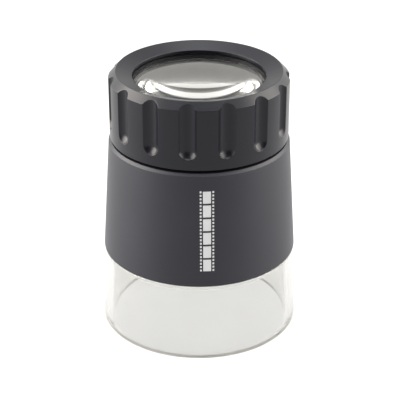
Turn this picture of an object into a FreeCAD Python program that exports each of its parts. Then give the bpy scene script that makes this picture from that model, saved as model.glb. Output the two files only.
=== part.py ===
"""Focusing film loupe with a clear light skirt, as a parametric assembly in millimetres.

The frame's origin is the centre of the skirt's underside and +Z runs up the optical axis. The front of the loupe
faces -Y. The pieces are drawn with the focusing ring screwed down.

Every size is a cell of the sheet "Sizes". A Length carries a number together with the sheet expression that gives
it, so sketches are drawn at the right place first and then bound to the sheet.
"""
import FreeCAD, Part
import math
import os
import Sketcher

SHEET = "Sizes"
NEAR = 1e-4  # two lengths this close are the same
OVERRUN = 1.0  # how far a cutter runs on past the face that it opens

# Driving dimensions: alias, value, what it is. Lengths in millimetres, angles in degrees.
DRIVING = [
    # Overall
    ("base_radius", 25.0, "outside of the skirt where it stands on the film"),
    ("skirt_height", 20.0, "height of the clear skirt below the housing"),
    ("housing_height", 29.3, "height of the housing, without its neck"),
    ("ring_gap", 0.65, "open gap between the shoulder and the focusing ring, screwed down"),
    ("ring_height", 17.0, "height of the focusing ring"),
    # Clear skirt
    ("skirt_wall", 2.3, "wall of the skirt at its foot"),
    ("skirt_setback", 0.2, "step by which the skirt's top is smaller than the housing's lower edge"),
    ("spigot_height", 6.1, "part of the skirt that goes up inside the housing"),
    ("spigot_wall", 1.5, "wall of the spigot"),
    ("spigot_taper_height", 1.7, "height of the cone between the skirt's wall and its spigot"),
    ("skirt_edge_round", 0.3, "round of the skirt's foot"),
    # Housing
    ("housing_flare", 0.7, "base radius minus the radius of the housing's lower edge"),
    ("housing_wall", 2.0, "wall of the housing at its lower edge"),
    ("shoulder_step", 0.37, "housing radius under the shoulder's bevel minus ring radius"),
    ("shoulder_bevel", 0.6, "width and height of the shoulder's bevel"),
    ("deck_thickness", 3.2, "thickness of the housing's top deck under the sleeve's flange"),
    ("deck_wall", 2.1, "wall of the housing just under its deck"),
    ("shoulder_round", 0.2, "round of both edges of the shoulder's bevel"),
    ("housing_foot_round", 0.3, "round of the housing's lower outer edge"),
    # Snap ring of the skirt
    ("snap_wire", 1.0, "diameter of the snap ring's wire"),
    ("snap_groove_play", 0.05, "play of the wire in its grooves"),
    ("snap_height", 3.2, "height of the snap ring above the housing's lower edge"),
    ("snap_gap_angle", 14.0, "opening of the split snap ring"),
    # Light baffle
    ("baffle_wall", 1.0, "wall of the light baffle"),
    ("baffle_flange", 1.1, "thickness of the baffle's lower flange"),
    ("baffle_ledge", 0.7, "width of the housing's ledge above the baffle's flange"),
    ("baffle_gap", 0.2, "gap between the baffle's cone and the housing's ledge"),
    ("baffle_steps", 8.0, "light-trapping steps inside the baffle"),
    # Eye lens and its cell
    ("eye_lens_radius", 16.9, "edge radius of the eye lens"),
    ("eye_lens_edge", 1.5, "edge thickness of the eye lens"),
    ("eye_lens_curve", 60.0, "radius of curvature of the eye lens"),
    ("eye_opening", 0.6, "eye lens radius minus the radius of the opening over it"),
    ("lens_play", 0.05, "radial play of a lens in its seat"),
    ("cell_wall", 1.25, "wall of the eye cell"),
    ("cell_lip", 0.6, "thickness of the cell's lip over the eye lens"),
    ("gasket_thickness", 0.4, "thickness of the gasket under the eye lens"),
    ("gasket_width", 1.2, "width of the gasket under the eye lens"),
    ("head_thickness", 1.7, "thickness of the barrel's head"),
    ("head_step", 0.35, "barrel head radius minus the eye lens seat's radius"),
    # Field lens and barrel
    ("lens_step", 2.7, "eye lens radius minus field lens radius"),
    ("field_lens_edge", 1.8, "edge thickness of the field lens"),
    ("field_lens_curve", 60.0, "radius of curvature of the field lens"),
    ("barrel_wall", 1.1, "wall of the barrel round the field lens"),
    ("seat_width", 1.0, "width of the ledge under the field lens"),
    ("seat_drop", 8.9, "height from the field lens's ledge up to the barrel's top"),
    ("retainer_thickness", 1.6, "thickness of the field lens retainer"),
    ("retainer_slot", 1.2, "width of the retainer's spanner slots"),
    ("retainer_slot_depth", 0.7, "depth of the retainer's spanner slots"),
    ("felt_height", 1.6, "height of the damping felt"),
    ("felt_depth", 0.8, "depth of the felt's groove"),
    ("felt_position", 1.0, "height of the felt's groove above the barrel's lower end"),
    ("felt_web", 0.4, "height from the felt's groove up to the pins"),
    # Guide pins and slots
    ("pin_count", 3.0, "number of guide pins and of their slots"),
    ("pin_diameter", 2.0, "diameter of a guide pin"),
    ("pin_backing", 0.2, "barrel wall left behind a pin"),
    ("pin_reach", 1.2, "reach of a pin into the sleeve's wall"),
    ("pin_chamfer", 0.2, "chamfer of a guide pin's ends"),
    ("slot_play", 0.15, "play of a guide pin in its slot, on each side"),
    ("slot_bridge", 1.65, "height from the slots' upper end to the neck's top"),
    ("focus_travel", 5.0, "rise of the lens cell from screwed down to fully out"),
    # Sleeve and thread
    ("run_gap", 0.3, "radial gap between pieces that move past each other"),
    ("felt_gap", 0.06, "radial gap between the felt and the sleeve"),
    ("sleeve_wall", 1.5, "wall of the sleeve under its thread"),
    ("thread_depth", 0.9, "depth of the focusing thread"),
    ("thread_starts", 3.0, "starts of the focusing thread"),
    ("thread_lead", 6.0, "rise of the ring in one turn"),
    ("tooth_root", 1.0, "width of a thread tooth at its root"),
    ("tooth_crest", 0.46, "width of a thread tooth at its crest"),
    ("tooth_bury", 0.15, "depth by which a tooth is rooted in its wall"),
    ("neck_clearance", 1.2, "height from the neck's top to the barrel's head, screwed down"),
    ("neck_thread_start", 2.0, "height of the first thread tooth above the flange"),
    ("neck_thread_margin", 0.9, "height from the last thread tooth up to the neck's top"),
    ("flange_thickness", 1.1, "thickness of the sleeve's flange"),
    ("flange_setback", 1.0, "depth of the flange's top below the shoulder"),
    ("shoulder_width", 1.75, "width of the shoulder outside the sleeve's flange"),
    ("fit_play", 0.05, "radial play of a piece seated in another"),
    # Sleeve screws
    ("screw_count", 3.0, "number of sleeve screws"),
    ("screw_diameter", 1.6, "thread diameter of a sleeve screw"),
    ("screw_head", 2.7, "head diameter of a sleeve screw"),
    ("screw_length", 3.4, "length of a sleeve screw"),
    ("screw_inset", 1.5, "flange radius minus the radius of the screw circle"),
    ("driver_slot", 0.4, "width and depth of a screw's driver slot"),
    # Focusing nut and ring
    ("nut_ledge", 1.5, "nut radius minus the radius of the ring's cell bore"),
    ("nut_recess", 0.3, "height of the nut's lower face above the ring's"),
    ("nut_thread_length", 5.0, "length of the nut's thread"),
    ("nut_collar", 0.7, "thickness of the nut's upper collar"),
    ("washer_thickness", 0.3, "thickness of a slip washer"),
    ("washer_play", 0.06, "axial play between a slip washer and the cell"),
    ("lip_thickness", 0.85, "thickness of the ring's eye rim at its edge"),
    ("dish_drop", 1.35, "depth of the ring's dished top at the eye opening"),
    ("rim_chamfer", 1.8, "width and height of the ring's top chamfer"),
    ("ring_skin", 0.85, "wall of the ring behind a scallop"),
    ("ring_foot_round", 0.35, "round of the ring's lower edge"),
    ("rim_round", 0.25, "round of the ring's crest and chamfer"),
    ("scallop_depth", 1.18, "depth of a scallop"),
    ("scallop_radius", 2.6, "radius of the round-bottomed scallop"),
    ("scallop_end", 4.95, "height of the scallop's round end above the ring's lower face"),
    ("scallop_count", 15.0, "scallops round the ring"),
    ("ring_clocking", 23.1, "angle by which the first scallop is turned from +X"),
]


class Length:
    """A number that remembers the sheet expression it comes from."""

    def __init__(self, value, text):
        self.value = value
        self.text = text

    def _join(self, other, sign, value):
        return Length(value, f"({self.text} {sign} {as_length(other).text})")

    def __add__(self, other):
        return self._join(other, "+", self.value + as_length(other).value)

    def __sub__(self, other):
        return self._join(other, "-", self.value - as_length(other).value)

    def __mul__(self, other):
        return self._join(other, "*", self.value * as_length(other).value)

    def __truediv__(self, other):
        return self._join(other, "/", self.value / as_length(other).value)

    def __neg__(self):
        return Length(-self.value, f"(0 - {self.text})")


def as_length(item):
    """Turn a plain number into a Length."""
    return item if isinstance(item, Length) else Length(float(item), repr(float(item)))


def root(length):
    """Square root of a Length."""
    return Length(math.sqrt(length.value), f"sqrt({length.text})")


class Sizes:
    """The sheet of driving dimensions. Each one is an attribute that holds its Length."""

    def __init__(self, doc):
        sheet = doc.addObject("Spreadsheet::Sheet", SHEET)
        for row, (alias, value, note) in enumerate(DRIVING, start=1):
            sheet.set(f"A{row}", alias)
            sheet.set(f"B{row}", str(value))
            sheet.set(f"C{row}", note)
            sheet.setAlias(f"B{row}", alias)
            setattr(self, alias, Length(value, f"{SHEET}.{alias}"))
        doc.recompute()
        self._follow()

    def _follow(self):
        """Work out the radii and heights that several pieces share, from the inside outwards."""
        # Radii of the lens cell, the sleeve, the nut and the ring
        self.eye_seat = self.eye_lens_radius + self.lens_play
        self.eye_open = self.eye_lens_radius - self.eye_opening
        self.cell_radius = self.eye_seat + self.cell_wall
        self.head_radius = self.eye_seat + self.head_step
        self.field_lens_radius = self.eye_lens_radius - self.lens_step
        self.field_seat = self.field_lens_radius + self.lens_play
        self.field_open = self.field_seat - self.seat_width
        self.barrel_radius = self.field_seat + self.barrel_wall
        self.sleeve_bore = self.barrel_radius + self.run_gap
        self.neck_root = self.sleeve_bore + self.sleeve_wall
        self.neck_crest = self.neck_root + self.thread_depth
        self.nut_crest = self.neck_root + self.run_gap
        self.nut_root = self.neck_crest + self.run_gap
        self.cell_bore = self.cell_radius + self.run_gap
        self.nut_radius = self.cell_bore + self.nut_ledge
        self.nut_bore = self.nut_radius + self.fit_play
        self.ring_radius = self.nut_bore + self.ring_skin + self.scallop_depth
        # Radii of the housing and the skirt
        self.housing_foot = self.base_radius - self.housing_flare
        self.housing_top = self.ring_radius + self.shoulder_step
        self.flange_bore = self.housing_top - self.shoulder_width
        self.flange_radius = self.flange_bore - self.fit_play
        self.deck_bore = self.neck_root + self.fit_play
        self.housing_bore = self.housing_foot - self.housing_wall
        self.spigot_radius = self.housing_bore - self.fit_play
        self.spigot_bore = self.spigot_radius - self.spigot_wall
        self.ledge_bore = self.housing_bore - self.baffle_ledge
        # Heights from the film up to the sleeve
        self.shoulder_level = self.skirt_height + self.housing_height
        self.flange_top = self.shoulder_level - self.flange_setback
        self.deck_top = self.flange_top - self.flange_thickness
        self.deck_level = self.deck_top - self.deck_thickness
        self.baffle_level = self.skirt_height + self.spigot_height
        # Heights from the ring's foot up to its crest, then down through the lens cell
        self.ring_level = self.shoulder_level + self.ring_gap
        self.ring_top = self.ring_level + self.ring_height
        self.rim_level = self.ring_top - self.dish_drop - self.lip_thickness
        self.cell_top = self.rim_level - self.washer_thickness - self.washer_play
        self.eye_rise = dome_rise(self.eye_lens_curve, self.eye_open, self.eye_lens_radius)
        self.eye_lens_level = self.cell_top - self.cell_lip - self.eye_rise - self.eye_lens_edge
        self.head_top = self.eye_lens_level - self.gasket_thickness
        self.cell_level = self.head_top - self.head_thickness
        self.field_level = self.head_top - self.seat_drop
        self.neck_top = self.cell_level - self.neck_clearance
        self.nut_top = self.cell_level - self.washer_play - self.washer_thickness
        self.nut_level = self.ring_level + self.nut_recess
        # The focusing thread: the nut's teeth stand half a pitch above the neck's
        self.thread_pitch = self.thread_lead / self.thread_starts
        self.neck_tooth_level = self.flange_top + self.neck_thread_start
        self.nut_tooth_level = self.neck_tooth_level + self.thread_pitch / 2
        self.screw_circle = self.flange_radius - self.screw_inset
        # The guide slots hang from the neck's top, and the pins stand at their lower ends
        self.pin_radius = self.pin_diameter / 2
        self.slot_radius = self.pin_radius + self.slot_play
        self.pin_level = self.neck_top - self.slot_bridge - self.slot_radius - self.focus_travel
        self.felt_level = self.pin_level - self.pin_radius - self.felt_web - self.felt_height
        self.barrel_level = self.felt_level - self.felt_position


def dome_rise(curve, inner, outer):
    """Height by which a sphere of radius curve rises from the radius outer in to the radius inner."""
    return root(curve * curve - inner * inner) - root(curve * curve - outer * outer)


# Drawing helpers

def origin_feature(body, role):
    """Return the origin plane or axis of a body that has the given role."""
    return next(feature for feature in body.Origin.OriginFeatures if feature.Role == role)


def new_body(doc, name, level=0.0, several=False):
    """Make a body whose own zero height stands at the given level of the loupe."""
    body = doc.addObject("PartDesign::Body", name)
    body.Label = name
    body.AllowCompound = several
    body.setExpression(".Placement.Base.z", as_length(level).text)
    return body


def new_sketch(body, name, plane="XZ_Plane", across=0.0, up=0.0):
    """Start a sketch on an origin plane of the body, with its own origin moved across and up."""
    sketch = body.newObject("Sketcher::SketchObject", name)
    sketch.AttachmentSupport = [(origin_feature(body, plane), "")]
    sketch.MapMode = "FlatFace"
    sketch.AttachmentOffset.Base = FreeCAD.Vector(as_length(across).value, as_length(up).value, 0)
    sketch.setExpression(".AttachmentOffset.Base.x", as_length(across).text)
    sketch.setExpression(".AttachmentOffset.Base.y", as_length(up).text)
    return sketch


def bind(sketch, constraint, text):
    """Add a dimension to a sketch and bind it to the sheet."""
    index = sketch.addConstraint(constraint)
    sketch.setExpression(f"Constraints[{index}]", text)


def hold(sketch, element, end, point):
    """Hold a point of the sketch at its distances from the sketch's own origin."""
    axes = (("DistanceX", -2), ("DistanceY", -1))
    for (kind, axis), place in zip(axes, map(as_length, point)):
        if place.text == "0.0":
            sketch.addConstraint(Sketcher.Constraint("PointOnObject", element, end, axis))
        else:
            bind(sketch, Sketcher.Constraint(kind, -1, 1, element, end, place.value), place.text)


def draw_outline(sketch, corners):
    """Draw a closed outline of straight lines through the corners and bind every corner."""
    places = [tuple(as_length(item).value for item in corner) for corner in corners]
    last = len(corners) - 1
    for index, start in enumerate(places):
        end = places[0 if index == last else index + 1]
        line = Part.LineSegment(FreeCAD.Vector(*start, 0), FreeCAD.Vector(*end, 0))
        sketch.addGeometry(line, False)
    for index, corner in enumerate(corners):
        following = 0 if index == last else index + 1
        sketch.addConstraint(Sketcher.Constraint("Coincident", index, 2, following, 1))
        hold(sketch, index, 1, corner)


def draw_circle(sketch, centre, radius):
    """Draw a circle and bind its centre and radius."""
    place = FreeCAD.Vector(*(as_length(item).value for item in centre), 0)
    sketch.addGeometry(Part.Circle(place, FreeCAD.Vector(0, 0, 1), radius.value), False)
    hold(sketch, 0, 3, centre)
    bind(sketch, Sketcher.Constraint("Radius", 0, radius.value), radius.text)


def draw_dome(sketch, radius, edge, curve):
    """Draw half the section of a lens with a flat lower face and a domed upper face."""
    centre = edge.value - math.sqrt(curve.value ** 2 - radius.value ** 2)
    rim = FreeCAD.Vector(radius.value, edge.value, 0)
    apex = FreeCAD.Vector(0, centre + curve.value, 0)
    foot = FreeCAD.Vector(radius.value, 0, 0)
    middle = FreeCAD.Vector(0, 0, 0)
    half = 0.5 * math.asin(radius.value / curve.value)
    between = FreeCAD.Vector(curve.value * math.sin(half), centre + curve.value * math.cos(half), 0)
    dome = Part.Arc(rim, between, apex)
    lines = [Part.LineSegment(apex, middle), Part.LineSegment(middle, foot), Part.LineSegment(foot, rim)]
    sketch.addGeometry([*lines, dome], False)
    for first, second in ((0, 1), (1, 2)):
        sketch.addConstraint(Sketcher.Constraint("Coincident", first, 2, second, 1))
    dome_rim = 1 if (sketch.Geometry[3].StartPoint - rim).Length < NEAR else 2
    sketch.addConstraint(Sketcher.Constraint("Coincident", 2, 2, 3, dome_rim))
    sketch.addConstraint(Sketcher.Constraint("Coincident", 0, 1, 3, 3 - dome_rim))
    sketch.addConstraint(Sketcher.Constraint("Coincident", 0, 2, -1, 1))
    sketch.addConstraint(Sketcher.Constraint("PointOnObject", 0, 1, -2))
    sketch.addConstraint(Sketcher.Constraint("PointOnObject", 3, 3, -2))
    hold(sketch, 2, 1, (radius, 0.0))
    hold(sketch, 2, 2, (radius, edge))
    bind(sketch, Sketcher.Constraint("Radius", 3, curve.value), curve.text)


def draw_bullet(sketch, radius, height):
    """Draw half the section of a round-nosed cutter whose nose is centred on the sketch's origin."""
    nose = FreeCAD.Vector(0, -radius.value, 0)
    side = FreeCAD.Vector(radius.value, 0, 0)
    shoulder = FreeCAD.Vector(radius.value, height.value, 0)
    tip = FreeCAD.Vector(0, height.value, 0)
    quarter = math.sqrt(0.5) * radius.value
    arc = Part.Arc(nose, FreeCAD.Vector(quarter, -quarter, 0), side)
    lines = [Part.LineSegment(side, shoulder), Part.LineSegment(shoulder, tip), Part.LineSegment(tip, nose)]
    sketch.addGeometry([*lines, arc], False)
    for first, second in ((0, 1), (1, 2)):
        sketch.addConstraint(Sketcher.Constraint("Coincident", first, 2, second, 1))
    sketch.addConstraint(Sketcher.Constraint("Coincident", 2, 2, 3, 1))
    sketch.addConstraint(Sketcher.Constraint("Coincident", 0, 1, 3, 2))
    sketch.addConstraint(Sketcher.Constraint("Coincident", 3, 3, -1, 1))
    sketch.addConstraint(Sketcher.Constraint("PointOnObject", 2, 2, -2))
    hold(sketch, 0, 1, (radius, 0.0))
    hold(sketch, 0, 2, (radius, height))
    hold(sketch, 1, 2, (0.0, height))


def draw_slot(sketch, low, high, radius):
    """Draw an upright slot on the sketch's vertical axis, with round ends centred at low and high."""
    side = radius.value
    up = FreeCAD.Vector(0, 0, 1)
    bottom = Part.ArcOfCircle(Part.Circle(FreeCAD.Vector(0, low.value, 0), up, side), math.pi, 2 * math.pi)
    top = Part.ArcOfCircle(Part.Circle(FreeCAD.Vector(0, high.value, 0), up, side), 0, math.pi)
    right = Part.LineSegment(FreeCAD.Vector(side, low.value, 0), FreeCAD.Vector(side, high.value, 0))
    left = Part.LineSegment(FreeCAD.Vector(-side, high.value, 0), FreeCAD.Vector(-side, low.value, 0))
    sketch.addGeometry([bottom, right, top, left], False)
    for index in range(4):
        sketch.addConstraint(Sketcher.Constraint("Tangent", index, 2, (index + 1) % 4, 1))
    sketch.addConstraint(Sketcher.Constraint("Vertical", 1))
    for arc, level in ((0, low), (2, high)):
        hold(sketch, arc, 3, (0.0, level))
    bind(sketch, Sketcher.Constraint("Radius", 0, side), radius.text)


def spin(body, name, sketch, cut=False, axis="V_Axis", angle=360.0):
    """Turn a sketch about one of its own axes, to add material or to cut it away."""
    feature = body.newObject("PartDesign::Groove" if cut else "PartDesign::Revolution", name)
    feature.Profile = sketch
    feature.ReferenceAxis = (sketch, [axis])
    feature.Angle = as_length(angle).value
    feature.setExpression("Angle", as_length(angle).text)
    body.Tip = feature
    return feature


def turned(body, corners):
    """Make a turned piece from half of its section, given as corners of radius and height."""
    sketch = new_sketch(body, "Section")
    draw_outline(sketch, corners)
    return spin(body, "Turned", sketch)


def round_edges(body, name, base, radius, rings):
    """Round the circular edges of base that lie at the given radius and height pairs."""
    body.Document.recompute()
    edges = []
    for index, edge in enumerate(base.Shape.Edges, start=1):
        if not isinstance(edge.Curve, Part.Circle):
            continue
        for ring_radius, height in rings:
            same_radius = abs(edge.Curve.Radius - as_length(ring_radius).value) < NEAR
            if same_radius and abs(edge.Curve.Center.z - as_length(height).value) < NEAR:
                edges.append(f"Edge{index}")
    if len(edges) != len(rings):
        raise RuntimeError(f"{body.Label}: {name} found {len(edges)} of {len(rings)} edges")
    feature = body.newObject("PartDesign::Fillet", name)
    feature.Base = (base, edges)
    feature.Radius = radius.value
    feature.setExpression("Radius", radius.text)
    body.Tip = feature
    return feature


def round_about(body, name, features, count):
    """Repeat features evenly round the body's upright axis."""
    pattern = body.newObject("PartDesign::PolarPattern", name)
    pattern.Originals = features
    pattern.Axis = (origin_feature(body, "Z_Axis"), [""])
    pattern.Angle = 360
    pattern.setExpression("Occurrences", count.text)
    body.Tip = pattern
    return pattern


def thread(body, size, wall, crest, start, length):
    """Wind the focusing thread's teeth on a wall, from the height start up by length."""
    outward = 1.0 if crest.value > wall.value else -1.0
    foot = wall - size.tooth_bury * outward
    root_half = size.tooth_root / 2
    crest_half = size.tooth_crest / 2
    sketch = new_sketch(body, "Tooth")
    draw_outline(sketch, [(foot, start - root_half), (foot, start + root_half),
                          (crest, start + crest_half), (crest, start - crest_half)])
    helix = body.newObject("PartDesign::AdditiveHelix", "Thread")
    helix.Profile = sketch
    helix.ReferenceAxis = (sketch, ["V_Axis"])
    helix.Mode = "pitch-height-angle"
    helix.Pitch = size.thread_lead.value
    helix.Height = length.value
    helix.setExpression("Pitch", size.thread_lead.text)
    helix.setExpression("Height", length.text)
    body.Tip = helix
    return round_about(body, "Starts", [helix], size.thread_starts)


# Pieces that stay with the housing

def clear_skirt(doc, size):
    """The clear skirt: a tapered acrylic wall with a spigot that goes up inside the housing."""
    body = new_body(doc, "clear_skirt")
    top = size.housing_foot - size.skirt_setback
    foot_bore = size.base_radius - size.skirt_wall
    spigot_top = size.skirt_height + size.spigot_height
    wall = turned(body, [
        (foot_bore, 0.0),
        (size.base_radius, 0.0),
        (top, size.skirt_height),
        (size.spigot_radius, size.skirt_height),
        (size.spigot_radius, spigot_top),
        (size.spigot_bore, spigot_top),
        (size.spigot_bore, size.skirt_height),
        (top - size.skirt_wall, size.skirt_height - size.spigot_taper_height),
    ])
    round_edges(body, "Foot", wall, size.skirt_edge_round, [(size.base_radius, 0.0), (foot_bore, 0.0)])
    snap_groove(body, size, size.skirt_height + size.snap_height)
    return body


def snap_groove(body, size, height):
    """Cut a round groove for the snap ring, half of it in the spigot and half in the housing."""
    sketch = new_sketch(body, "SnapSection")
    draw_circle(sketch, (size.housing_bore, height), size.snap_wire / 2 + size.snap_groove_play)
    return spin(body, "SnapGroove", sketch, cut=True)


def skirt_snap_ring(doc, size):
    """The split wire ring that snaps the skirt's spigot into the housing."""
    body = new_body(doc, "skirt_snap_ring", size.skirt_height + size.snap_height)
    sketch = new_sketch(body, "WireSection")
    draw_circle(sketch, (size.housing_bore, 0.0), size.snap_wire / 2)
    spin(body, "Wire", sketch, angle=as_length(360.0) - size.snap_gap_angle)
    return body


def housing(doc, size):
    """The tapered shell with the shoulder, the deck under the sleeve and the skirt's socket."""
    body = new_body(doc, "housing", size.skirt_height)
    top = size.housing_height
    cone_top = top - size.shoulder_bevel
    bevel_in = size.housing_top - size.shoulder_bevel
    recess = size.deck_top - size.skirt_height
    deck = size.deck_level - size.skirt_height
    ledge = size.spigot_height + size.baffle_flange
    outside_at_deck = size.housing_foot + (size.housing_top - size.housing_foot) * deck / cone_top
    shell = turned(body, [
        (size.housing_bore, 0.0),
        (size.housing_foot, 0.0),
        (size.housing_top, cone_top),
        (bevel_in, top),
        (size.flange_bore, top),
        (size.flange_bore, recess),
        (size.deck_bore, recess),
        (size.deck_bore, deck),
        (outside_at_deck - size.deck_wall, deck),
        (size.ledge_bore, ledge),
        (size.housing_bore, ledge),
    ])
    rounded = round_edges(body, "ShoulderRound", shell, size.shoulder_round,
                          [(size.housing_top, cone_top), (bevel_in, top)])
    round_edges(body, "FootRound", rounded, size.housing_foot_round, [(size.housing_foot, 0.0)])
    snap_groove(body, size, size.snap_height)
    pilot = screw_section(body, size, size.flange_top - size.skirt_height, cut=True)
    round_about(body, "Pilots", [pilot], size.screw_count)
    return body


def light_baffle(doc, size):
    """The matt black cone inside the housing, stepped inside to trap stray light."""
    body = new_body(doc, "light_baffle", size.baffle_level)
    height = size.deck_level - size.baffle_level
    flange = size.baffle_flange
    foot_out = size.ledge_bore - size.baffle_gap
    foot_in = foot_out - size.baffle_wall
    count = int(size.baffle_steps.value)
    rise = (height - flange) / size.baffle_steps
    draw_in = (foot_in - size.deck_bore) / size.baffle_steps
    corners = [
        (foot_in, 0.0),
        (size.housing_bore - size.fit_play, 0.0),
        (size.housing_bore - size.fit_play, flange),
        (foot_out, flange),
        (size.deck_bore + size.baffle_wall, height),
    ]
    for step in range(count, 0, -1):
        radius = foot_in - draw_in * step
        corners.append((radius, flange + rise * step))
        corners.append((radius, flange + rise * (step - 1)))
    turned(body, corners)
    return body


def guide_sleeve(doc, size):
    """The threaded neck with its flange and the three straight slots that guide the lens cell."""
    body = new_body(doc, "guide_sleeve", size.deck_level)
    flange_low = size.deck_top - size.deck_level
    flange_high = size.flange_top - size.deck_level
    top = size.neck_top - size.deck_level
    turned(body, [
        (size.sleeve_bore, 0.0),
        (size.neck_root, 0.0),
        (size.neck_root, flange_low),
        (size.flange_radius, flange_low),
        (size.flange_radius, flange_high),
        (size.neck_root, flange_high),
        (size.neck_root, top),
        (size.sleeve_bore, top),
    ])
    start = size.neck_tooth_level - size.deck_level
    thread(body, size, size.neck_root, size.neck_crest, start, top - size.neck_thread_margin - start)
    pin = size.pin_level - size.deck_level
    sketch = new_sketch(body, "SlotShape", plane="YZ_Plane")
    draw_slot(sketch, pin, pin + size.focus_travel, size.slot_radius)
    slot = body.newObject("PartDesign::Pocket", "Slot")
    slot.Profile = sketch
    slot.Reversed = True
    slot.setExpression("Length", (size.neck_crest + OVERRUN).text)
    body.Tip = slot
    round_about(body, "Slots", [slot], size.pin_count)
    hole = screw_section(body, size, flange_high, cut=True)
    round_about(body, "ScrewHoles", [hole], size.screw_count)
    return body


def screw_section(body, size, level, cut=False):
    """Turn a countersunk screw, or its hole, with its flat head level with the flange's top."""
    shank = size.screw_diameter / 2
    head = size.screw_head / 2
    tip = -size.screw_length
    sketch = new_sketch(body, "ScrewSection", across=-size.screw_circle, up=level)
    draw_outline(sketch, [(0.0, tip), (shank, tip), (shank, shank - head), (head, 0.0), (0.0, 0.0)])
    return spin(body, "ScrewHole" if cut else "Screw", sketch, cut=cut)


def sleeve_screws(doc, size):
    """The three countersunk screws that hold the sleeve's flange on the housing's deck."""
    body = new_body(doc, "sleeve_screws", size.flange_top, several=True)
    screw = screw_section(body, size, 0.0)
    sketch = new_sketch(body, "DriverSlot", plane="XY_Plane", across=-size.screw_circle)
    reach = size.screw_head / 2
    half = size.driver_slot / 2
    draw_outline(sketch, [(-reach, -half), (reach, -half), (reach, half), (-reach, half)])
    slot = body.newObject("PartDesign::Pocket", "Driver")
    slot.Profile = sketch
    slot.setExpression("Length", size.driver_slot.text)
    body.Tip = slot
    round_about(body, "Screws", [screw, slot], size.screw_count)
    return body


# Pieces of the lens cell, which slides in the sleeve

def lens_barrel(doc, size):
    """The tube of the lens cell, with its threaded head, the field lens's seat and the felt's groove."""
    body = new_body(doc, "lens_barrel", size.barrel_level)
    top = size.head_top - size.barrel_level
    head = top - size.head_thickness
    seat = top - size.seat_drop
    groove = size.barrel_radius - size.felt_depth
    groove_top = size.felt_position + size.felt_height
    turned(body, [
        (size.field_open, 0.0),
        (size.barrel_radius, 0.0),
        (size.barrel_radius, size.felt_position),
        (groove, size.felt_position),
        (groove, groove_top),
        (size.barrel_radius, groove_top),
        (size.barrel_radius, head),
        (size.head_radius, head),
        (size.head_radius, top),
        (size.field_seat, top),
        (size.field_seat, seat),
        (size.field_open, seat),
    ])
    hole = pin_section(body, size, size.pin_level - size.barrel_level, cut=True)
    round_about(body, "PinHoles", [hole], size.pin_count)
    return body


def pin_section(body, size, level, cut=False):
    """Turn a guide pin, or its hole, about an axis that runs outwards at the given height."""
    outer = size.sleeve_bore + size.pin_reach
    inner = size.field_seat + size.pin_backing
    radius = size.pin_radius
    chamfer = size.pin_chamfer
    sketch = new_sketch(body, "PinSection", up=level)
    draw_outline(sketch, [(inner, 0.0), (outer, 0.0), (outer, radius - chamfer), (outer - chamfer, radius),
                          (inner + chamfer, radius), (inner, radius - chamfer)])
    return spin(body, "PinHole" if cut else "Pin", sketch, cut=cut, axis="H_Axis")


def guide_pins(doc, size):
    """The three pins that run in the sleeve's slots, so that the cell rises without turning."""
    body = new_body(doc, "guide_pins", size.pin_level, several=True)
    pin = pin_section(body, size, 0.0)
    round_about(body, "Pins", [pin], size.pin_count)
    return body


def damping_felt(doc, size):
    """The felt ring in the barrel's groove, which makes the focusing smooth."""
    body = new_body(doc, "damping_felt", size.felt_level)
    inner = size.barrel_radius - size.felt_depth + size.fit_play
    outer = size.sleeve_bore - size.felt_gap
    turned(body, ring_section(inner, outer, size.felt_height))
    return body


def ring_section(inner, outer, height):
    """Corners of the section of a plain flat ring."""
    return [(inner, 0.0), (outer, 0.0), (outer, height), (inner, height)]


def lens(doc, name, level, radius, edge, curve):
    """A glass lens with a flat lower face and a domed upper face."""
    body = new_body(doc, name, level)
    sketch = new_sketch(body, "LensSection")
    draw_dome(sketch, radius, edge, curve)
    spin(body, "Glass", sketch)
    return body


def field_lens(doc, size):
    """The lower lens, which lies on the barrel's ledge."""
    return lens(doc, "field_lens", size.field_level, size.field_lens_radius, size.field_lens_edge,
                size.field_lens_curve)


def eye_lens(doc, size):
    """The large upper lens, held between the gasket and the cell's lip."""
    return lens(doc, "eye_lens", size.eye_lens_level, size.eye_lens_radius, size.eye_lens_edge,
                size.eye_lens_curve)


def field_lens_retainer(doc, size):
    """The threaded ring that holds the field lens down, with two spanner slots."""
    rise = dome_rise(size.field_lens_curve, size.field_open, size.field_lens_radius)
    body = new_body(doc, "field_lens_retainer", size.field_level + size.field_lens_edge + rise)
    outer = size.field_seat
    turned(body, ring_section(size.field_open, outer, size.retainer_thickness))
    sketch = new_sketch(body, "SpannerSlot", up=size.retainer_thickness)
    half = size.retainer_slot / 2
    floor = -size.retainer_slot_depth
    draw_outline(sketch, [(-half, floor), (half, floor), (half, 0.0), (-half, 0.0)])
    slot = body.newObject("PartDesign::Pocket", "Spanner")
    slot.Profile = sketch
    slot.Midplane = True
    slot.setExpression("Length", ((outer + OVERRUN) * 2).text)
    body.Tip = slot
    return body


def eye_lens_gasket(doc, size):
    """The soft ring between the eye lens and the barrel's head."""
    body = new_body(doc, "eye_lens_gasket", size.head_top)
    turned(body, ring_section(size.eye_lens_radius - size.gasket_width, size.eye_lens_radius,
                              size.gasket_thickness))
    return body


def eye_cell(doc, size):
    """The cap of the lens cell: screwed on the barrel's head, its lip holds the eye lens down."""
    body = new_body(doc, "eye_cell", size.cell_level)
    top = size.cell_top - size.cell_level
    turned(body, [
        (size.head_radius, 0.0),
        (size.cell_radius, 0.0),
        (size.cell_radius, top),
        (size.eye_open, top),
        (size.eye_open, top - size.cell_lip),
        (size.eye_seat, top - size.cell_lip),
        (size.eye_seat, size.head_thickness),
        (size.head_radius, size.head_thickness),
    ])
    return body


# Pieces that turn with the focusing ring

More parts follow.
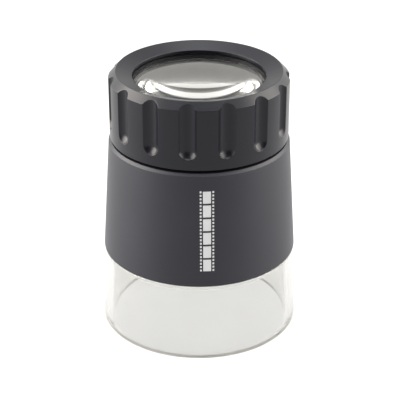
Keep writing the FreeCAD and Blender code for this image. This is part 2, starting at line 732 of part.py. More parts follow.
def slip_washer(doc, name, level, size):
    """A thin ring between the focusing ring, which turns, and the lens cell, which doesn't."""
    body = new_body(doc, name, level)
    turned(body, ring_section(size.nut_crest, size.cell_radius, size.washer_thickness))
    return body


def lower_washer(doc, size):
    """The slip washer between the focusing nut and the lens cell's foot."""
    return slip_washer(doc, "lower_washer", size.nut_top, size)


def upper_washer(doc, size):
    """The slip washer between the lens cell's top and the focusing ring's rim."""
    return slip_washer(doc, "upper_washer", size.rim_level - size.washer_thickness, size)


def focus_nut(doc, size):
    """The threaded bush pressed into the focusing ring; its collar carries the lens cell."""
    body = new_body(doc, "focus_nut", size.nut_level)
    top = size.nut_top - size.nut_level
    collar = top - size.nut_collar
    turned(body, [
        (size.nut_root, 0.0),
        (size.nut_radius, 0.0),
        (size.nut_radius, top),
        (size.nut_crest, top),
        (size.nut_crest, collar),
        (size.nut_root, collar),
    ])
    start = size.nut_tooth_level - size.nut_level
    thread(body, size, size.nut_root, size.nut_crest, start, size.nut_thread_length)
    return body


def focus_ring(doc, size):
    """The scalloped grip ring, whose dished top is the eye rim."""
    body = new_body(doc, "focus_ring", size.ring_level)
    body.Placement.Rotation = FreeCAD.Rotation(FreeCAD.Vector(0, 0, 1), size.ring_clocking.value)
    body.setExpression(".Placement.Rotation.Angle", size.ring_clocking.text)
    top = size.ring_height
    crest = size.ring_radius - size.rim_chamfer
    shoulder = top - size.rim_chamfer
    seat = size.nut_top - size.ring_level
    rim = size.rim_level - size.ring_level
    blank = turned(body, [
        (size.nut_bore, 0.0),
        (size.ring_radius, 0.0),
        (size.ring_radius, shoulder),
        (crest, top),
        (size.eye_open, top - size.dish_drop),
        (size.eye_open, rim),
        (size.cell_bore, rim),
        (size.cell_bore, seat),
        (size.nut_bore, seat),
    ])
    foot = round_edges(body, "FootRound", blank, size.ring_foot_round, [(size.ring_radius, 0.0)])
    round_edges(body, "RimRound", foot, size.rim_round, [(size.ring_radius, shoulder), (crest, top)])
    across = size.ring_radius - size.scallop_depth + size.scallop_radius
    sketch = new_sketch(body, "ScallopCutter", across=across, up=size.scallop_end)
    draw_bullet(sketch, size.scallop_radius, top - size.scallop_end + OVERRUN)
    scallop = spin(body, "Scallop", sketch, cut=True)
    round_about(body, "Scallops", [scallop], size.scallop_count)
    return body


PIECES = [
    clear_skirt, skirt_snap_ring, housing, light_baffle, guide_sleeve, sleeve_screws,
    lens_barrel, guide_pins, damping_felt, field_lens, field_lens_retainer, eye_lens_gasket, eye_lens, eye_cell,
    lower_washer, upper_washer, focus_nut, focus_ring,
]


def check(doc, bodies):
    """Stop if any object failed, if a cut removed nothing, or if a piece's shape isn't sound."""
    for item in doc.Objects:
        if "Invalid" in item.State or "Error" in item.State:
            raise RuntimeError(f"{item.Label}: {item.State}")
        if item.TypeId in ("PartDesign::Groove", "PartDesign::Pocket"):
            if item.Shape.Volume >= item.BaseFeature.Shape.Volume:
                raise RuntimeError(f"{item.Label} cuts nothing")
    for body in bodies:
        if body.Shape.isNull() or not body.Shape.isValid() or not body.Shape.Solids:
            raise RuntimeError(f"{body.Label}: its shape isn't sound")


def main():
    """Build every piece, check it and write it as parts/NODE.step."""
    doc = FreeCAD.newDocument("focusing_loupe")
    size = Sizes(doc)
    bodies = [make(doc, size) for make in PIECES]
    doc.recompute()
    check(doc, bodies)
    os.makedirs("parts", exist_ok=True)
    for body in bodies:
        body.Shape.exportStep(f"parts/{body.Label}.step")
        print(f"{body.Label}: {len(body.Shape.Solids)} solid(s), {body.Shape.Volume:.1f} mm3")


main()
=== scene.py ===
"""Studio scene of a focusing film loupe: a clear skirt, a black housing and a scalloped focusing ring.

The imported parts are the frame. The pieces that show, or that light passes through, are turned again here
at a finer grain and stand for their nodes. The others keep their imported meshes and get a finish. Lengths in
the classes are in millimetres, and Blender is given metres.
"""

import logging
import math
from collections.abc import Iterable, Sequence
from dataclasses import dataclass
from enum import Enum
from functools import cache
from typing import Any

import bmesh
import bpy
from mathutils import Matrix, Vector


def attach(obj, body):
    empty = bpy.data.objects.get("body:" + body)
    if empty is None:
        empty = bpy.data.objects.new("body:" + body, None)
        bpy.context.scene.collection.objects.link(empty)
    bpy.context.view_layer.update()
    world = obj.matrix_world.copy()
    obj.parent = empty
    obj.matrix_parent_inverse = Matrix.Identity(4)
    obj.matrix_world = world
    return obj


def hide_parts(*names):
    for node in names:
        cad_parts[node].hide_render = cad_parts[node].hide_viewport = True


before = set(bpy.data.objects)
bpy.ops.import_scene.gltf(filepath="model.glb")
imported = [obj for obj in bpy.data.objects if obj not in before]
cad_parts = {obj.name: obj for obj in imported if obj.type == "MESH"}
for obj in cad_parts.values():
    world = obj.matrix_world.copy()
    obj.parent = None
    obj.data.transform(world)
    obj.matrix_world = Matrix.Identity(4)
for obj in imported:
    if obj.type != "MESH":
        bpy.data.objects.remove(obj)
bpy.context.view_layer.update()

MM = 0.001
MERGE = 1e-6  # metres: points closer than this are one point
LEVEL_REACH = 0.01  # mm: a node's points this close to a level belong to it
ROUND_STEPS = 6  # straight pieces in each rounded corner
GUARD = 0.04  # mm of flat kept beside each rounded corner, so that the flat shades as flat
LONG_SIDE = 1.0  # mm: longer sides also get a guard point beside each sharp corner
SIDE_GUARD = 0.03  # mm from such a side's end to its guard point
OUTSIDE_STEPS = 384  # facets round the skirt and the housing
SHARP = math.radians(32)  # faces that meet at more than this keep a sharp edge between them

log = logging.getLogger("loupe")


class Body(Enum):
    """The bodies of the frame that the pieces ride on."""

    HOUSING = "housing_body"
    CELL = "lens_cell"
    RING = "focus_ring_body"


# Measuring the frame and turning sections

@dataclass(frozen=True)
class Extent:
    """Levels and radii of one node of the frame, in millimetres."""

    low: float
    high: float
    inner: float
    outer: float


@cache
def extent(node: str) -> Extent:
    """Measure a node of the frame.

    Args:
        node: the node's name.
    Returns:
        Its lowest and highest level, and its least and greatest radius about the optical axis.
    """
    points = [vert.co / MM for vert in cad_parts[node].data.vertices]
    radii = [math.hypot(point.x, point.y) for point in points]
    levels = [point.z for point in points]
    return Extent(min(levels), max(levels), min(radii), max(radii))


@cache
def section_reach(node: str, level: float, widest: bool = True) -> float:
    """Measure a node's greatest or least radius at one of its levels.

    Args:
        node: the node's name.
        level: the height of the level, in millimetres.
        widest: whether to return the greatest radius or the least.
    Returns:
        The radius in millimetres.
    """
    points = [vert.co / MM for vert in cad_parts[node].data.vertices]
    radii = [math.hypot(point.x, point.y) for point in points if abs(point.z - level) < LEVEL_REACH]
    return max(radii) if widest else min(radii)


@dataclass(frozen=True)
class Corner:
    """A corner of a turned section: radius, height and the round on it, in millimetres."""

    radius: float
    height: float
    round: float = 0.0


def rounded(before: Corner, corner: Corner, after: Corner) -> list[tuple[float, float]]:
    """Replace one corner of a section by its arc.

    Args:
        before: the corner that comes before it.
        corner: the corner to round.
        after: the corner that comes after it.
    Returns:
        Points of radius and height along the arc, with a guard point on the flat at each end.
    """
    here = Vector((corner.radius, corner.height))
    if not corner.round:
        return [tuple(here)]
    back = (Vector((before.radius, before.height)) - here).normalized()
    on = (Vector((after.radius, after.height)) - here).normalized()
    half = 0.5 * back.angle(on)
    run = corner.round / math.tan(half)
    centre = here + (back + on).normalized() * corner.round / math.sin(half)
    first, last = here + back * run - centre, here + on * run - centre
    turn = math.atan2(first.cross(last), first.dot(last))
    start = math.atan2(first.y, first.x)
    arc = []
    for step in range(ROUND_STEPS + 1):
        angle = start + turn * step / ROUND_STEPS
        arc.append((centre.x + corner.round * math.cos(angle), centre.y + corner.round * math.sin(angle)))
    return [tuple(here + back * (run + GUARD)), *arc, tuple(here + on * (run + GUARD))]


def outline(corners: Sequence[Corner]) -> list[tuple[float, float]]:
    """Walk a closed section and round its corners.

    Args:
        corners: the section's corners in order.
    Returns:
        Points of radius and height, in millimetres.
    """
    points = []
    for index, corner in enumerate(corners):
        points += rounded(corners[index - 1], corner, corners[(index + 1) % len(corners)])
    return points


def guarded(points: list[tuple[float, float]]) -> list[tuple[float, float]]:
    """Add a point near both ends of each long side, so that a corner without a round leaves its flat.

    Args:
        points: radius and height of each point of a closed section, in millimetres.
    Returns:
        The section with its extra points; its shape is unchanged.
    """
    kept = []
    for (radius, height), (next_radius, next_height) in zip(points, points[1:] + points[:1]):
        kept.append((radius, height))
        out, up = next_radius - radius, next_height - height
        length = math.hypot(out, up)
        if length > LONG_SIDE:
            for share in (SIDE_GUARD / length, 1.0 - SIDE_GUARD / length):
                kept.append((radius + out * share, height + up * share))
    return kept


def spun(points: Iterable[tuple[float, float]], steps: int, closed: bool = True) -> bmesh.types.BMesh:
    """Turn a section about the optical axis.

    Args:
        points: radius and height of each point of the section, in millimetres.
        steps: facets round the axis.
        closed: whether the last point joins the first; a section that ends on the axis stays open.
    Returns:
        The turned shape, welded, with its faces outwards.
    """
    shape = bmesh.new()
    verts = [shape.verts.new((radius * MM, 0.0, height * MM)) for radius, height in points]
    pairs = zip(verts, verts[1:] + verts[:1]) if closed else zip(verts, verts[1:])
    edges = [shape.edges.new(pair) for pair in pairs]
    bmesh.ops.spin(shape, geom=verts + edges, cent=(0, 0, 0), axis=(0, 0, 1), dvec=(0, 0, 0),
                   angle=2 * math.pi, steps=steps, use_merge=True)
    weld(shape)
    return shape


def weld(shape: bmesh.types.BMesh) -> None:
    """Merge the points that lie together and turn the faces outwards."""
    bmesh.ops.remove_doubles(shape, verts=shape.verts, dist=MERGE)
    bmesh.ops.recalc_face_normals(shape, faces=shape.faces)


def add_object(name: str, shape: bmesh.types.BMesh, material: bpy.types.Material) -> bpy.types.Object:
    """Make a smooth-shaded object of a shape and free the shape.

    Args:
        name: the object's name.
        shape: its geometry, already in place.
        material: its material.
    Returns:
        The new object, at the origin.
    """
    mesh = bpy.data.meshes.new(name)
    shape.to_mesh(mesh)
    shape.free()
    mesh.polygons.foreach_set("use_smooth", [True] * len(mesh.polygons))
    mesh.set_sharp_from_angle(angle=SHARP)
    mesh.materials.append(material)
    made = bpy.data.objects.new(name, mesh)
    bpy.context.scene.collection.objects.link(made)
    return made


def fit(made: bpy.types.Object, body: Body, slot: str, *nodes: str) -> None:
    """Hang a finished piece in the frame.

    Args:
        made: the piece.
        body: the body it rides on.
        slot: the record's material slot; not used.
        nodes: the nodes that it stands for.
    """
    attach(made, body.value)
    if nodes:
        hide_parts(*nodes)
    log.info("%s: %d faces, rides on %s", made.name, len(made.data.polygons), body.value)


# Finishes

def linear(colour: str) -> tuple[float, float, float, float]:
    """Turn an sRGB hex colour into linear red, green, blue and alpha."""
    shares = [int(colour[at:at + 2], 16) / 255 for at in (0, 2, 4)]
    return (*[c / 12.92 if c <= 0.04045 else ((c + 0.055) / 1.055) ** 2.4 for c in shares], 1.0)


def add_node(tree: bpy.types.NodeTree, kind: str, inputs: dict[Any, Any] | None = None,
             **settings: Any) -> bpy.types.Node:
    """Add a node with its settings and links.

    Args:
        tree: the node tree.
        kind: the node's type.
        inputs: for each input, by name or number, its value or the output that feeds it.
        settings: the node's own properties.
    Returns:
        The new node.
    """
    node = tree.nodes.new(kind)
    for key, value in settings.items():
        setattr(node, key, value)
    for key, value in (inputs or {}).items():
        if isinstance(value, bpy.types.NodeSocket):
            tree.links.new(value, node.inputs[key])
        else:
            node.inputs[key].default_value = value
    return node


@dataclass(frozen=True)
class Finish:
    """A surface with a fine grain and slow changes of tone and gloss over it.

    The grain, its depth and the drift are in millimetres. A finish with no roughness is polished.
    """

    name: str
    colour: str
    shade: str
    roughness: float
    gloss_drift: float = 0.04
    grain: float = 0.4
    grain_depth: float = 0.002
    drift: float = 9.0
    ior: float = 1.5
    specular: float = 0.5
    metallic: float = 0.0
    transmission: float = 0.0
    sheen: float = 0.0

    def material(self) -> bpy.types.Material:
        """Build the material: tone and roughness from slow noise, and a bump from the grain."""
        made = bpy.data.materials.new(self.name)
        made.use_nodes = True
        tree = made.node_tree
        tree.nodes.clear()
        place = add_node(tree, "ShaderNodeTexCoord").outputs["Object"]
        slow = self.noise(tree, place, self.drift, 3.0)
        tone = add_node(tree, "ShaderNodeMix", {0: slow, 6: linear(self.colour), 7: linear(self.shade)},
                        data_type="RGBA")
        inputs = {"Base Color": tone.outputs[2], "IOR": self.ior, "Metallic": self.metallic,
                  "Specular IOR Level": self.specular, "Transmission Weight": self.transmission,
                  "Sheen Weight": self.sheen, "Roughness": self.roughness}
        if self.roughness:
            inputs["Roughness"] = add_node(tree, "ShaderNodeMapRange", {
                "Value": slow, "To Min": self.roughness - self.gloss_drift,
                "To Max": self.roughness + self.gloss_drift}).outputs[0]
        if self.grain_depth:
            inputs["Normal"] = add_node(tree, "ShaderNodeBump", {
                "Height": self.relief(tree, place), "Strength": 1.0,
                "Distance": self.grain_depth * MM}).outputs[0]
        shader = add_node(tree, "ShaderNodeBsdfPrincipled", inputs)
        add_node(tree, "ShaderNodeOutputMaterial", {"Surface": shader.outputs[0]})
        return made

    def relief(self, tree: bpy.types.NodeTree, place: bpy.types.NodeSocket) -> bpy.types.NodeSocket:
        """Return the height pattern of the surface."""
        return self.noise(tree, place, self.grain, 2.0)

    @staticmethod
    def noise(tree: bpy.types.NodeTree, place: bpy.types.NodeSocket, size: float,
              detail: float) -> bpy.types.NodeSocket:
        """Return noise at a place, with features about size millimetres wide and the given detail."""
        made = add_node(tree, "ShaderNodeTexNoise", {
            "Vector": place, "Scale": 1 / (size * MM), "Detail": detail})
        return made.outputs["Fac"]


@dataclass(frozen=True)
class Turned(Finish):
    """A lathe-turned surface: fine rings round the optical axis instead of a grain."""

    def relief(self, tree: bpy.types.NodeTree, place: bpy.types.NodeSocket) -> bpy.types.NodeSocket:
        """Return the tool marks, one ring for each grain width of radius and height."""
        axes = add_node(tree, "ShaderNodeSeparateXYZ", {0: place})
        flat = add_node(tree, "ShaderNodeCombineXYZ", {0: axes.outputs[0], 1: axes.outputs[1]})
        radius = add_node(tree, "ShaderNodeVectorMath", {0: flat.outputs[0]}, operation="LENGTH")
        along = add_node(tree, "ShaderNodeMath", {0: radius.outputs["Value"], 1: axes.outputs[2]},
                         operation="ADD")
        line = add_node(tree, "ShaderNodeCombineXYZ", {0: along.outputs[0]})
        return self.noise(tree, line.outputs[0], self.grain, 3.0)


# Spark-eroded ABS: a soft satin that goes bright only where the light grazes it
HOUSING_ABS = Finish("satin_black_abs", "11121b", "161720", roughness=0.46, grain=0.45,
                     grain_depth=0.0025, specular=0.36)
# The same ABS from a finer mould, a little darker and sharper in its lights
RING_ABS = Finish("fine_black_abs", "0b0c13", "0f1017", roughness=0.3, grain=0.4, grain_depth=0.0018,
                  specular=0.26)
# Clear moulded acrylic: bright edges, and slow waves in what is seen through the wall
CLEAR_ACRYLIC = Finish("clear_acrylic", "dddddb", "e1e1df", roughness=0.0, grain=7.0,
                       grain_depth=0.004, ior=1.49, specular=0.3, transmission=1.0)
# The same acrylic, ground flat on the foot: a soft white edge in place of a dark mirror
GROUND_ACRYLIC = Finish("ground_acrylic", "c8c8c5", "d2d2cf", roughness=0.8, grain=0.15,
                        grain_depth=0.004, ior=1.49)
# Polished light crown glass: clean mirrors of the surroundings over the dark inside, and no grain at all
CROWN_GLASS = Finish("polished_crown_glass", "fbfcfa", "fefefe", roughness=0.0, grain_depth=0.0, ior=1.49,
                     transmission=1.0)
# Dead matt black paint: swallows what the lens lets in
MATT_PAINT = Finish("matt_black_paint", "0c0c0d", "141415", roughness=0.85, grain=0.3, grain_depth=0.01)
# Black anodised aluminium, lathe-turned: dark, with fine bright rings
ANODISED = Turned("black_anodised_aluminium", "17171a", "202024", roughness=0.42, grain=0.25,
                  grain_depth=0.003, metallic=0.6)
# Black acetal, turned: waxy dark threads
ACETAL = Turned("black_acetal", "131315", "1a1a1c", roughness=0.45, grain=0.3, ior=1.48)
# Black-oxide steel: the screw heads stay dark in the gap
OXIDE_STEEL = Finish("black_oxide_steel", "1c1c1e", "2a2a2c", roughness=0.4, metallic=0.8)
# Turned brass: warm yellow rings
BRASS = Turned("turned_brass", "b08d4c", "c5a364", roughness=0.28, grain=0.2, grain_depth=0.003,
               metallic=1.0)
# Spring wire: bright and drawn
WIRE = Finish("drawn_spring_wire", "8d8e90", "a5a6a8", roughness=0.25, metallic=1.0)
# Pressed felt: dull, with loose fibres
FELT = Finish("pressed_felt", "1b1b1c", "2c2c2e", roughness=0.95, grain=0.25, grain_depth=0.05,
              sheen=0.3)
# Nitrile rubber: dull black
RUBBER = Finish("nitrile_rubber", "111112", "1a1a1b", roughness=0.7, grain=0.3, grain_depth=0.004)
# Silver pad print: a thin even coat, a little brighter than the plastic's lights
SILVER_INK = Finish("silver_pad_print", "a2a3a6", "aeafb2", roughness=0.45, grain=0.2, grain_depth=0.001)
# PTFE film: white and waxy
PTFE = Finish("ptfe_film", "dcdcd8", "e8e8e4", roughness=0.5, grain=0.5, ior=1.38)


# Pieces

@dataclass
class ClearSkirt:
    """The clear skirt: a tapered wall on the film, with a spigot up inside the housing."""

    wall: float = 2.3
    spigot_wall: float = 1.5
    setback: float = 0.2
    taper_height: float = 1.7
    edge_round: float = 0.12
    top_round: float = 0.15
    ground_height: float = 0.01

    def build(self) -> bpy.types.Object:
        """Turn the skirt in one piece."""
        skirt = extent("clear_skirt")
        level = extent("housing").low
        spigot = section_reach("clear_skirt", skirt.high)
        top = section_reach("housing", level, widest=False) + Housing.wall - self.setback
        shape = spun(guarded(outline([
            Corner(skirt.outer - self.wall, 0.0, self.edge_round),
            Corner(skirt.outer, 0.0, self.edge_round),
            Corner(top, level, self.top_round),
            Corner(spigot, level),
            Corner(spigot, skirt.high, self.top_round),
            Corner(spigot - self.spigot_wall, skirt.high, self.top_round),
            Corner(spigot - self.spigot_wall, level),
            Corner(top - self.wall, level - self.taper_height),
        ])), steps=OUTSIDE_STEPS)
        made = add_object("skirt", shape, CLEAR_ACRYLIC.material())
        made.data.materials.append(GROUND_ACRYLIC.material())
        # only the flat foot is ground: its faces are the ones below ground_height
        for face in made.data.polygons:
            face.material_index = int(face.center.z < self.ground_height * MM)
        fit(made, Body.HOUSING, "skirt_acrylic", "clear_skirt")
        return made


@dataclass
class Housing:
    """The tapered shell with its shoulder, its deck and the skirt's socket."""

    wall: float = 2.0
    step: float = 0.37
    bevel: float = 0.6
    bevel_round: float = 0.12
    shoulder_width: float = 1.75
    foot_round: float = 0.25
    recess: float = 2.1
    deck: float = 3.2
    deck_wall: float = 2.1
    ledge_width: float = 0.7
    ledge_height: float = 7.2
    edge_round: float = 0.1

    def cone(self, height: float) -> float:
        """Return the radius of the tapered outside at a height."""
        shell = extent("housing")
        foot = section_reach("housing", shell.low, widest=False) + self.wall
        top = extent("focus_ring").outer + self.step
        return foot + (top - foot) * (height - shell.low) / (shell.high - self.bevel - shell.low)

    def build(self) -> bpy.types.Object:
        """Turn the shell in one piece."""
        shell = extent("housing")
        bore = section_reach("housing", shell.low, widest=False)
        foot = bore + self.wall
        top = extent("focus_ring").outer + self.step
        deck = shell.high - self.recess - self.deck
        shape = spun(guarded(outline([
            Corner(bore, shell.low, self.edge_round),
            Corner(foot, shell.low, self.foot_round),
            Corner(top, shell.high - self.bevel, self.bevel_round),
            Corner(top - self.bevel, shell.high, self.bevel_round),
            Corner(top - self.shoulder_width, shell.high, self.edge_round),
            Corner(top - self.shoulder_width, shell.high - self.recess),
            Corner(shell.inner, shell.high - self.recess),
            Corner(shell.inner, deck),
            Corner(self.cone(deck) - self.deck_wall, deck),
            Corner(bore - self.ledge_width, shell.low + self.ledge_height),
            Corner(bore, shell.low + self.ledge_height),
        ])), steps=OUTSIDE_STEPS)
        made = add_object("housing_shell", shape, HOUSING_ABS.material())
        fit(made, Body.HOUSING, "housing_abs", "housing")
        return made


@dataclass
class FilmMark:
    """The printed mark on the housing's front: a strip of film with its frames and perforations.

    Its middle is the angle from the front, in degrees.
    """

    low: float = 24.3
    high: float = 45.0
    middle: float = 4.6
    width: float = 3.4
    frames: int = 6
    frame_gap: float = 0.5
    frame_share: float = 0.56
    holes: int = 4
    hole_share: float = 0.55
    rail: float = 0.42
    coat: float = 0.02
    cuts: int = 3

    def patches(self) -> list[tuple[float, float, float, float]]:
        """Return each printed rectangle's middle, foot, width and height on the flat strip."""
        pitch = (self.high - self.low + self.frame_gap) / self.frames
        inside = self.width * self.frame_share
        hole_pitch = pitch / self.holes
        rail_place = 0.5 * (self.width - self.rail)
        flat = []
        for frame_index in range(self.frames):
            foot = self.low + pitch * frame_index
            flat.append((0.0, foot, inside, pitch - self.frame_gap))
            for hole in range(self.holes):
                level = foot + hole_pitch * hole
                for side in (-1, 1):
                    flat.append((side * rail_place, level, self.rail, hole_pitch * self.hole_share))
        return flat

    def build(self) -> bpy.types.Object:
        """Lay the patches round the cone as thin closed coats."""
        shape = bmesh.new()
        surface = Housing().cone
        for across, foot, width, height in self.patches():
            made_before = len(shape.verts)
            block = bmesh.ops.create_cube(shape, size=1.0)["verts"]
            along = {edge for vert in block for edge in vert.link_edges
                     if edge.verts[0].co.x != edge.verts[1].co.x}
            bmesh.ops.subdivide_edges(shape, edges=list(along), cuts=self.cuts)
            for vert in list(shape.verts)[made_before:]:
                level = foot + height * (vert.co.z + 0.5)
                radius = surface(level) + self.coat * 2 * vert.co.y
                angle = math.radians(self.middle - 90.0) + (across + width * vert.co.x) / surface(level)
                vert.co = (radius * MM * math.cos(angle), radius * MM * math.sin(angle), level * MM)
        bmesh.ops.recalc_face_normals(shape, faces=shape.faces)
        made = add_object("film_mark", shape, SILVER_INK.material())
        fit(made, Body.HOUSING, "housing_abs")
        return made


@dataclass
class FocusRing:
    """The focusing ring: scallops round its grip, a chamfered rim and a dished top."""

    count: int = 15
    clocking: float = 23.1
    depth: float = 1.18
    cutter: float = 2.6
    nose_height: float = 4.95
    edge_soft: float = 0.12
    chamfer: float = 1.8
    dish: float = 1.35
    lip: float = 0.85
    foot_round: float = 0.35
    rim_round: float = 0.15
    inside_columns: int = 10
    outside_columns: int = 9
    gathering: float = 1.5
    nose_rows: int = 16
    straight_rows: int = 6
    chamfer_rows: int = 12
    nut_play: float = 0.05
    cell_play: float = 0.3
    eye_round: float = 0.15
    lip_round: float = 0.1
    bore_round: float = 0.2
    foot_gaps: tuple[float, ...] = (1.2, 0.5, 0.25, 0.12, 0.05)
    rim_gaps: tuple[float, ...] = (0.04, 0.1, 0.2)

    def __post_init__(self) -> None:
        """Measure the ring and its bores."""
        ring = extent("focus_ring")
        self.low, self.high, self.eye, self.radius = ring.low, ring.high, ring.inner, ring.outer
        self.nose = self.low + self.nose_height
        self.axis = self.radius - self.depth + self.cutter
        self.nut_bore = extent("focus_nut").outer + self.nut_play
        self.nut_top = extent("focus_nut").high
        self.cell_bore = extent("eye_cell").outer + self.cell_play

    def half_angle(self, radius: float, height: float) -> float:
        """Return half the angle that a scallop takes up at a radius and height; zero where there is none."""
        drop = min(height - self.nose, 0.0)
        reach = self.cutter ** 2 - drop ** 2
        cosine = (radius ** 2 + self.axis ** 2 - reach) / (2 * radius * self.axis)
        return math.acos(cosine) if cosine < 1.0 else 0.0

    def floor(self, angle: float, height: float) -> float:
        """Return the radius of the scallop's floor at an angle from its middle, or infinity beside it."""
        drop = min(height - self.nose, 0.0)
        inside = self.cutter ** 2 - drop ** 2 - (self.axis * math.sin(angle)) ** 2
        return self.axis * math.cos(angle) - math.sqrt(inside) if inside > 0 else math.inf

    def grip_rows(self) -> list[tuple[float, float]]:
        """Return the rows of the grip from foot to chamfer, close together where a scallop ends."""
        tip = self.nose - math.sqrt(self.cutter ** 2 - (self.axis - self.radius) ** 2)
        heights = [tip - gap for gap in self.foot_gaps]
        heights += [self.nose - (self.nose - tip) * math.cos(0.5 * math.pi * step / self.nose_rows)
                    for step in range(self.nose_rows + 1)]
        straight = self.high - self.chamfer - self.rim_round - self.nose
        heights += [self.nose + straight * step / self.straight_rows
                    for step in range(1, self.straight_rows)]
        return [(self.radius, height) for height in heights]

    def rim_rows(self) -> list[tuple[float, float]]:
        """Return the rows of the chamfer, close together where the scallops run out."""
        foot, end = self.high - self.chamfer, self.axis - self.cutter
        run_out = self.radius - end
        falls = [run_out * math.sin(0.5 * math.pi * step / self.chamfer_rows)
                 for step in range(2, self.chamfer_rows + 1)]
        falls += [run_out + gap for gap in self.rim_gaps]
        return [(self.radius - fall, foot + fall) for fall in falls]

    def section(self) -> list[tuple[float, float]]:
        """Return the whole section, with the extra rows that the scallops need."""
        crest = self.radius - self.chamfer
        shoulder = self.high - self.chamfer
        foot = Corner(self.radius, self.low, self.foot_round)
        side = Corner(self.radius, shoulder, self.rim_round)
        top = Corner(crest, self.high, self.rim_round)
        eye = Corner(self.eye, self.high - self.dish, self.eye_round)
        under = Corner(self.eye, self.high - self.dish - self.lip, self.lip_round)
        bore = Corner(self.nut_bore, self.low, self.bore_round)
        rest = [
            Corner(self.cell_bore, self.high - self.dish - self.lip),
            Corner(self.cell_bore, self.nut_top),
            Corner(self.nut_bore, self.nut_top),
        ]
        points = rounded(bore, foot, side) + self.grip_rows() + rounded(foot, side, top) + self.rim_rows()
        points += rounded(side, top, eye) + rounded(top, eye, under) + rounded(eye, under, rest[0])
        points += [(corner.radius, corner.height) for corner in rest] + rounded(rest[-1], bore, foot)
        return points

    def carve(self, shape: bmesh.types.BMesh) -> None:
        """Gather the columns towards the scallops' edges and sink the floors.

        Args:
            shape: the turned blank, with a column for each step of the pitch.
        """
        pitch = 2 * math.pi / self.count
        share = self.inside_columns / (self.inside_columns + self.outside_columns)
        start = math.radians(self.clocking)
        for vert in shape.verts:
            radius = math.hypot(vert.co.x, vert.co.y) / MM
            height = vert.co.z / MM
            angle = math.atan2(vert.co.y, vert.co.x)
            middle = round(angle / pitch) * pitch
            part = 2 * (angle - middle) / pitch
            edge = self.half_angle(radius, height)
            away = abs(part)
            if away < share:
                spread = edge * (1 - (1 - away / share) ** self.gathering)
            else:
                spread = edge + (0.5 * pitch - edge) * ((away - share) / (1 - share)) ** self.gathering
            floor = self.floor(spread, height)
            if edge or height > self.nose - self.cutter:
                radius = soft_least(radius, floor, self.edge_soft)
            turned = middle + start + math.copysign(spread, part)
            vert.co.x, vert.co.y = radius * MM * math.cos(turned), radius * MM * math.sin(turned)

    def build(self) -> bpy.types.Object:
        """Turn the blank and carve the scallops."""
        shape = spun(self.section(), steps=self.count * (self.inside_columns + self.outside_columns) * 2)
        self.carve(shape)
        weld(shape)
        made = add_object("ring", shape, RING_ABS.material())
        fit(made, Body.RING, "ring_abs", "focus_ring")
        return made


def soft_least(first: float, second: float, width: float) -> float:
    """Return the lesser of two lengths, blended over a width about where they are equal."""
    if abs(first - second) >= width:
        return min(first, second)
    share = 0.5 + 0.5 * (second - first) / width
    return second + (first - second) * share - 0.5 * width * share * (1 - share)


@dataclass
class Lens:
    """A glass lens with a flat lower face and a domed upper face."""

    name: str
    node: str
    edge: float
    bevel: float = 0.12
    rings: int = 56
    flat_rings: int = 12
    steps: int = 320

    def build(self) -> bpy.types.Object:
        """Turn the lens from its dome's arc down to the flat face."""
        glass = extent(self.node)
        rise = glass.high - glass.low - self.edge
        curve = (glass.outer ** 2 + rise ** 2) / (2 * rise)
        widest = math.asin((glass.outer - self.bevel) / curve)
        dome = []
        for ring in range(self.rings + 1):
            angle = widest * ring / self.rings
            dome.append((curve * math.sin(angle), glass.high - curve * (1 - math.cos(angle))))
        rim = [(glass.outer, dome[-1][1] - self.bevel), (glass.outer, glass.low + self.bevel),
               (glass.outer - self.bevel, glass.low)]
        flat = [((glass.outer - self.bevel) * (1 - ring / self.flat_rings), glass.low)
                for ring in range(1, self.flat_rings + 1)]
        shape = spun(dome + rim + flat, steps=self.steps, closed=False)
        made = add_object(self.name, shape, CROWN_GLASS.material())
        fit(made, Body.CELL, "optical_glass", self.node)
        return made


@dataclass
class Carried:
    """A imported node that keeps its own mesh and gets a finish."""

    node: str
    finish: Finish

    def build(self) -> bpy.types.Object:
        """Dress the node."""
        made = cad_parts[self.node]
        made.data.materials.clear()
        made.data.materials.append(self.finish.material())
        log.info("%s: kept, %s", self.node, self.finish.name)
        return made


CARRIED = [
    Carried("light_baffle", MATT_PAINT),
    Carried("guide_sleeve", ACETAL),
    Carried("sleeve_screws", OXIDE_STEEL),
    Carried("skirt_snap_ring", WIRE),
    Carried("lens_barrel", ANODISED),
    Carried("eye_cell", ANODISED),
    Carried("field_lens_retainer", ANODISED),
    Carried("guide_pins", BRASS),
    Carried("damping_felt", FELT),
    Carried("eye_lens_gasket", RUBBER),
    Carried("lower_washer", PTFE),
    Carried("upper_washer", PTFE),
    Carried("focus_nut", BRASS),
]


# Studio

@dataclass
class Softbox:
    """A soft square light that points at the loupe."""

    name: str
    place: tuple[float, float, float]
    side: float
    radiance: float
    colour: str = "ffffff"

    def build(self, aim: Vector) -> None:
        """Hang the light and turn it to the loupe."""
        lamp = bpy.data.lights.new(self.name, "AREA")
        lamp.shape = "SQUARE"
        lamp.size = self.side
        lamp.energy = self.radiance * math.pi * self.side ** 2
        lamp.color = linear(self.colour)[:3]
        made = bpy.data.objects.new(self.name, lamp)
        made.location = self.place
        made.rotation_euler = (aim - made.location).to_track_quat("-Z", "Y").to_euler()
        made.visible_camera = False
        bpy.context.scene.collection.objects.link(made)


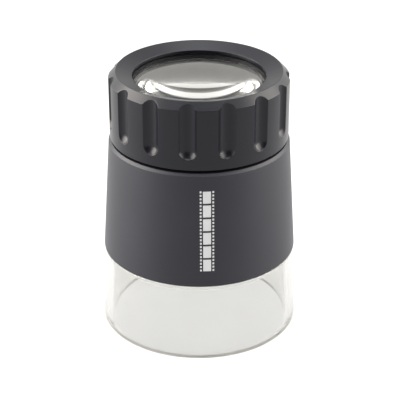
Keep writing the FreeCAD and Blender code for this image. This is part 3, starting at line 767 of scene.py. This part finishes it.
@dataclass
class Studio:
    """The floor, the lights and the camera. Places are in metres.

    The surroundings brighten from front_light to back_light between the depths fade_start and fade_end of
    their unit sphere, and by side_light towards its sides, gathered there by side_power.
    """

    elevation: float = 27.0
    distance: float = 0.340
    aim_height: float = 0.0313
    aim_side: float = 0.0002
    focal: float = 120.5
    near_clip: float = 0.01
    floor_radius: float = 2.0
    floor_drop: float = 0.00005
    floor_glow: float = 0.85
    front_light: float = 0.1
    back_light: float = 1.0
    fade_start: float = -0.8
    fade_end: float = 0.3
    side_light: float = 4.9
    side_power: float = 3.0

    def build(self) -> None:
        """Set up the whole studio."""
        aim = Vector((self.aim_side, 0.0, self.aim_height))
        self.camera(aim)
        self.floor()
        self.surroundings()
        for box in (
            Softbox("left_softbox", (-0.62, 0.0, 0.28), 0.7, 8.6, "fff8f0"),
            Softbox("right_softbox", (0.62, 0.0, 0.28), 0.7, 5.2, "fff8f0"),
            Softbox("top_softbox", (0.0, 0.07, 0.75), 0.6, 6.2),
        ):
            box.build(aim)

    def camera(self, aim: Vector) -> None:
        """Place the camera on its arc in front of the loupe."""
        lens = bpy.data.cameras.new("camera")
        lens.lens = self.focal
        lens.clip_start = self.near_clip
        made = bpy.data.objects.new("camera", lens)
        tilt = math.radians(self.elevation)
        made.location = aim + self.distance * Vector((0.0, -math.cos(tilt), math.sin(tilt)))
        made.rotation_euler = (aim - made.location).to_track_quat("-Z", "Y").to_euler()
        bpy.context.scene.collection.objects.link(made)
        bpy.context.scene.camera = made

    def floor(self) -> None:
        """Lay the white floor just under the loupe."""
        shape = bmesh.new()
        bmesh.ops.create_circle(shape, cap_ends=True, segments=96, radius=self.floor_radius)
        bmesh.ops.translate(shape, vec=(0, 0, -self.floor_drop), verts=shape.verts)
        bmesh.ops.recalc_face_normals(shape, faces=shape.faces)
        material = bpy.data.materials.new("white_studio_paper")
        material.use_nodes = True
        tree = material.node_tree
        tree.nodes.clear()
        place = add_node(tree, "ShaderNodeTexCoord").outputs["Object"]
        clouds = Finish.noise(tree, place, size=60.0, detail=2.0)
        tone = add_node(tree, "ShaderNodeMix", {0: clouds, 6: linear("60605f"), 7: linear("646463")},
                        data_type="RGBA")
        shader = add_node(tree, "ShaderNodeBsdfPrincipled", {
            "Base Color": tone.outputs[2], "Roughness": 0.8, "Specular IOR Level": 0.1,
            "Emission Color": linear("ffffff"), "Emission Strength": self.floor_glow})
        add_node(tree, "ShaderNodeOutputMaterial", {"Surface": shader.outputs[0]})
        made = add_object("studio_floor", shape, material)

    def surroundings(self) -> None:
        """Light the room: bright behind and beside the loupe, dim behind the camera."""
        world = bpy.data.worlds.new("studio")
        bpy.context.scene.world = world
        world.use_nodes = True
        tree = world.node_tree
        tree.nodes.clear()
        direction = add_node(tree, "ShaderNodeTexCoord").outputs["Generated"]
        axes = add_node(tree, "ShaderNodeSeparateXYZ", {0: direction})
        depth = add_node(tree, "ShaderNodeMapRange", {
            "Value": axes.outputs["Y"], "From Min": self.fade_start, "From Max": self.fade_end,
            "To Min": self.front_light, "To Max": self.back_light}, interpolation_type="SMOOTHSTEP")
        across = add_node(tree, "ShaderNodeMath", {0: axes.outputs["X"]}, operation="ABSOLUTE")
        beside = add_node(tree, "ShaderNodeMath", {0: across.outputs[0], 1: self.side_power},
                          operation="POWER")
        strength = add_node(tree, "ShaderNodeMath", {
            0: beside.outputs[0], 1: self.side_light, 2: depth.outputs[0]}, operation="MULTIPLY_ADD")
        sky = add_node(tree, "ShaderNodeBackground", {
            "Color": linear("fffdf8"), "Strength": strength.outputs[0]})
        add_node(tree, "ShaderNodeOutputWorld", {"Surface": sky.outputs[0]})
        bpy.context.scene.view_settings.view_transform = "Standard"
        # light that turns round inside the lens needs more bounces than usual, or its front stays dark
        paths = bpy.context.scene.cycles
        paths.glossy_bounces, paths.transmission_bounces, paths.max_bounces = 16, 24, 32


def main() -> None:
    """Build every piece and the studio round them."""
    logging.basicConfig(level=logging.INFO, format="%(name)s: %(message)s")
    for part in (
        ClearSkirt(),
        Housing(),
        FilmMark(),
        FocusRing(),
        Lens("upper_glass", "eye_lens", edge=1.5),
        Lens("lower_glass", "field_lens", edge=1.8),
        *CARRIED,
    ):
        part.build()
    Studio().build()


if __name__ == "__main__":
    main()
